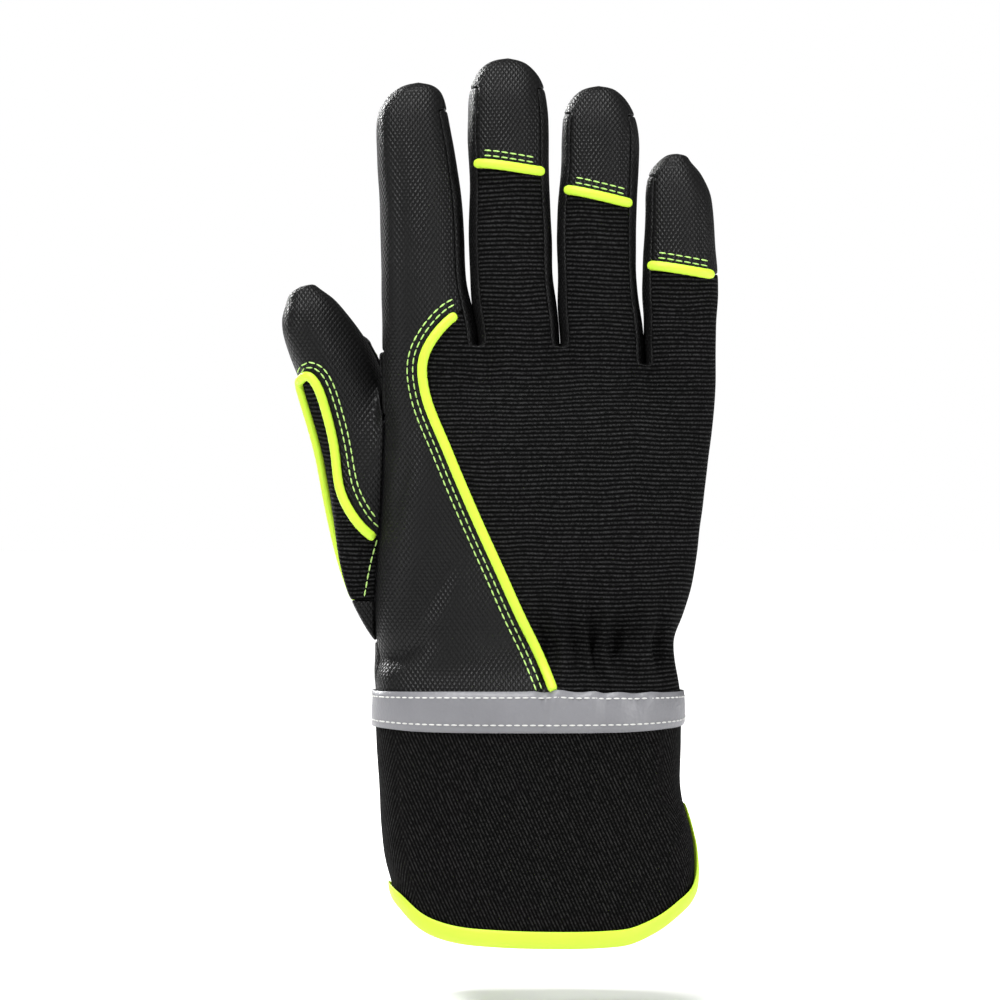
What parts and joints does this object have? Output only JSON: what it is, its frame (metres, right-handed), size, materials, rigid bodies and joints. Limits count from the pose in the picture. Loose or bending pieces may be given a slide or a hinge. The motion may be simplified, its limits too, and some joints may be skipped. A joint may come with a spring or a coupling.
{
  "type": "insulated mechanic glove",
  "caption": "Right-hand insulated mechanic glove with embossed leather palm, ribbed knit back, bright piping, reflective tape and a twill cuff vented at the side.",
  "frame": {"origin": "middle of the cuff mouth, at the level of the hem's lowest stretch", "axes": "+Z towards the fingertips, -Y out of the back of the hand, +Y out of the palm, -X towards the thumb"},
  "size_m": [0.1349, 0.064, 0.2726],
  "materials": {
    "leather": "embossed matte synthetic leather",
    "knit": "ribbed stretch knit",
    "twill": "cotton twill",
    "piping": "fluorescent folded tape",
    "tape": "satin retroreflective tape"
  },
  "bodies": {
    "root": {"palm_panel": "leather", "index_panel": "leather", "middle_tip": "leather", "ring_tip": "leather", "little_tip": "leather", "fourchette_index_middle": "leather", "fourchette_middle_ring": "leather", "fourchette_ring_little": "leather", "thumb_shell": "leather", "thumb_patch": "leather", "saddle_patch": "leather", "heel_pad": "leather", "back_panel": "knit", "thumb_knit": "knit", "back_piping": "piping", "thumb_piping": "piping", "middle_piping": "piping", "ring_piping": "piping", "little_piping": "piping", "hem_binding": "piping", "cuff": "twill", "reflective_band": "tape"}
  },
  "joints": []
}
